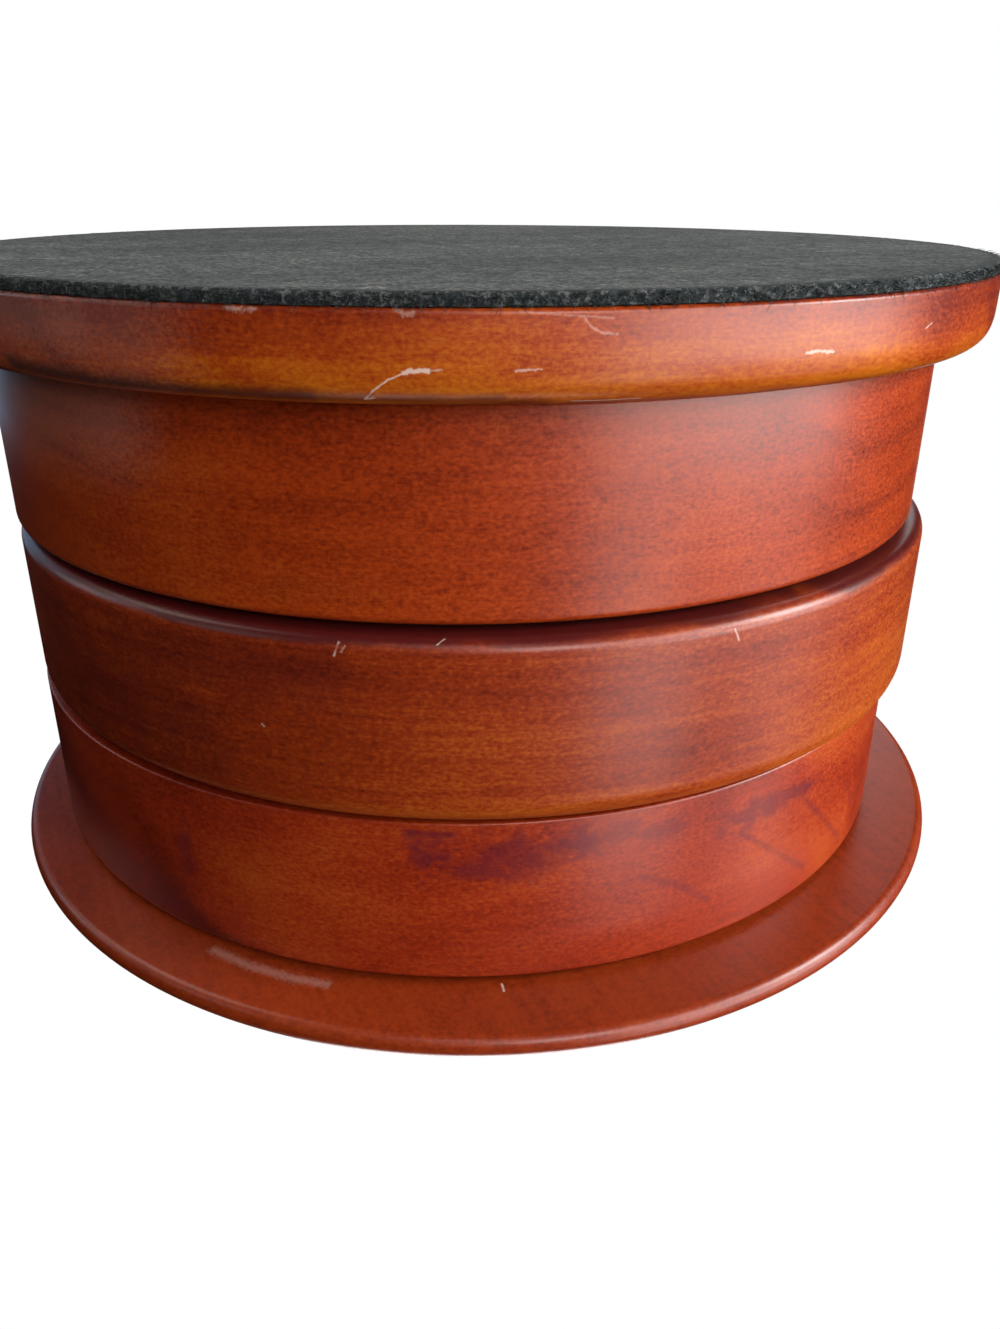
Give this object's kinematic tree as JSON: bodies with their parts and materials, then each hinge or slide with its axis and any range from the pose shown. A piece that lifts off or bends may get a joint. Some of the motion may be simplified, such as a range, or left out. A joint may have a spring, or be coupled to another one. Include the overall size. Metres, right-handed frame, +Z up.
{
  "type": "swivel jewellery box",
  "caption": "Round wooden jewellery box with lined trays and a lid that each swing about a rod at the back, on a felted plinth.",
  "frame": {"origin": "middle of the felt's underside, on the surface that the box stands on", "axes": "+Z up through the lid, +Y from the middle towards the pivot rod at the back"},
  "size_m": [0.2243, 0.2194, 0.1244],
  "materials": {
    "stained_wood": "red-brown cherry stain under a satin varnish, fine grain round the walls",
    "plywood": "stained plywood, matt",
    "felt": "charcoal felt with a short pile",
    "velvet": "charcoal velvet",
    "steel": "zinc plated",
    "brass": "satin brass",
    "nylon": "natural nylon",
    "mirror": "silvered glass"
  },
  "bodies": {
    "base": {"felt_pad": "felt", "base_plinth": "stained_wood", "plinth_screw_1": "steel", "plinth_screw_2": "steel", "plinth_screw_3": "steel", "plinth_screw_4": "steel", "lower_tray_wall": "stained_wood", "lower_wall_lining": "velvet", "lower_floor_pad": "velvet", "pivot_rod": "steel", "rod_nut": "steel", "rod_washer": "steel", "lower_spacer": "nylon", "middle_spacer": "nylon", "upper_spacer": "nylon", "lid_screw": "brass"},
    "middle_tray": {"middle_tray_wall": "stained_wood", "middle_tray_floor": "plywood", "middle_wall_lining": "velvet", "middle_floor_pad": "velvet", "middle_bush": "nylon", "middle_cross_divider": "velvet", "middle_front_divider": "velvet"},
    "upper_tray": {"upper_tray_wall": "stained_wood", "upper_tray_floor": "plywood", "upper_wall_lining": "velvet", "upper_floor_pad": "velvet", "upper_bush": "nylon", "upper_cross_divider": "velvet", "ring_roll_1": "velvet", "ring_roll_2": "velvet", "ring_roll_3": "velvet", "ring_roll_4": "velvet", "ring_roll_5": "velvet", "ring_roll_6": "velvet"},
    "lid": {"lid_panel": "stained_wood", "lid_mirror": "mirror"}
  },
  "joints": [
    {"name": "middle_tray_swing", "type": "hinge", "parent": "base", "child": "middle_tray", "pos_m": [0, 0.083, 0.0679], "axis": [0, 0, 1], "range_deg": [-120, 120]},
    {"name": "upper_tray_swing", "type": "hinge", "parent": "base", "child": "upper_tray", "pos_m": [0, 0.083, 0.10235], "axis": [0, 0, 1], "range_deg": [-120, 120]},
    {"name": "lid_swing", "type": "hinge", "parent": "base", "child": "lid", "pos_m": [0, 0.083, 0.12215], "axis": [0, 0, 1], "range_deg": [-120, 120]}
  ]
}
